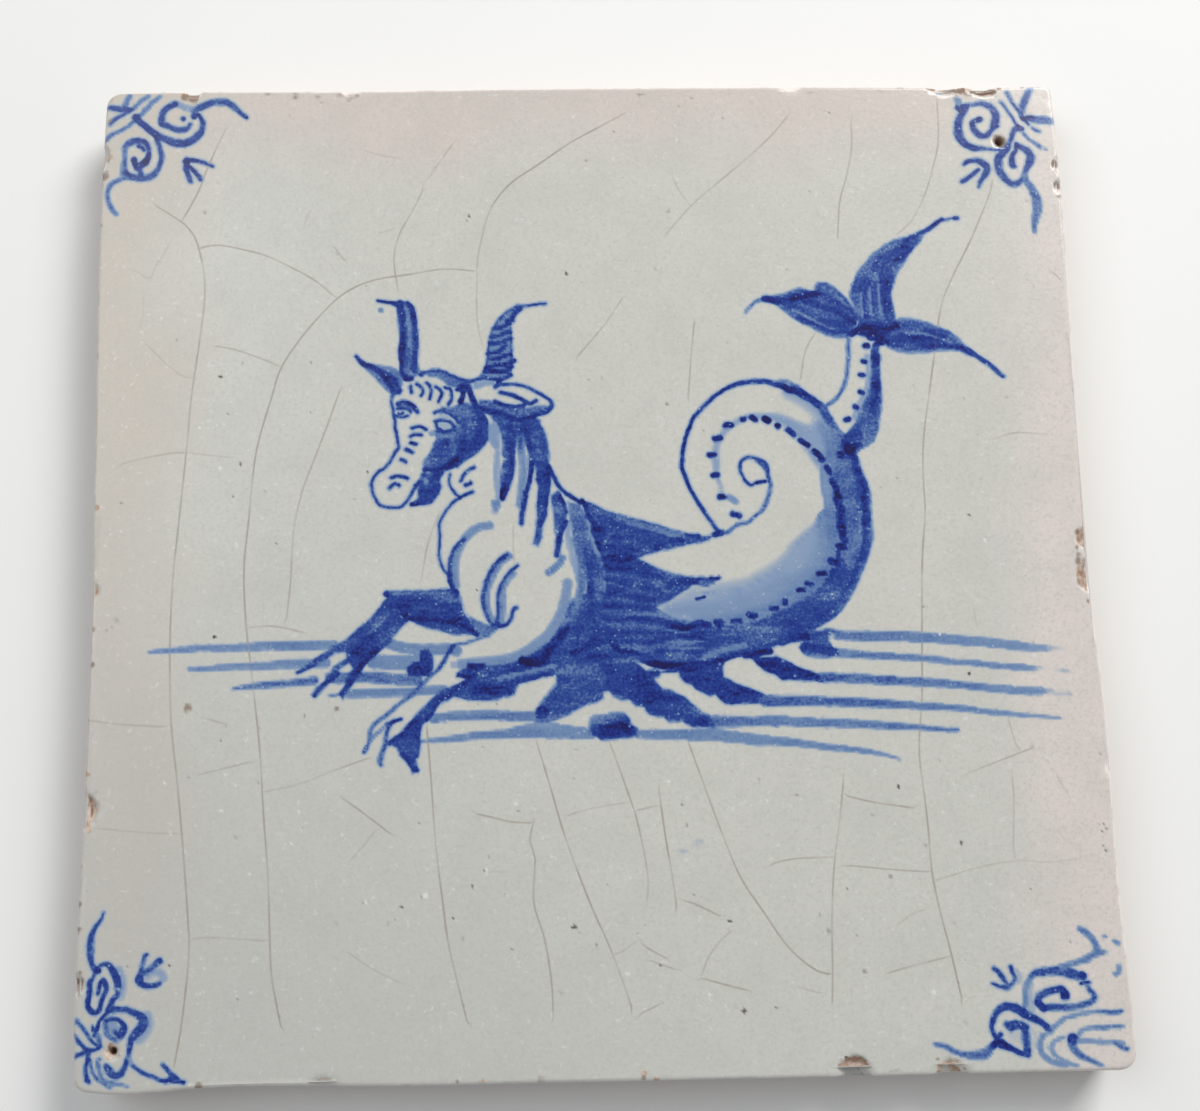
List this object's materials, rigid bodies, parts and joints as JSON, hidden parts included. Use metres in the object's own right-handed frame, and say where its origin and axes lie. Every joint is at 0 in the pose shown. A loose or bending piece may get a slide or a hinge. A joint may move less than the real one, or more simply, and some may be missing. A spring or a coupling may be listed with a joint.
{
  "type": "delft tile",
  "caption": "Square tin-glazed earthenware wall tile with a blue painted figure and corner ornaments, hand-cut and flaked edges, and a nail hole in opposite corners.",
  "frame": {"origin": "centre of the tile's outline, on the plane of its back face", "axes": "+Z out of the glazed face, +Y towards the top of the picture, +X to its right"},
  "size_m": [0.1308, 0.1311, 0.008],
  "materials": {
    "tile": "gloss"
  },
  "bodies": {
    "root": {"tile": "tile"}
  },
  "joints": []
}
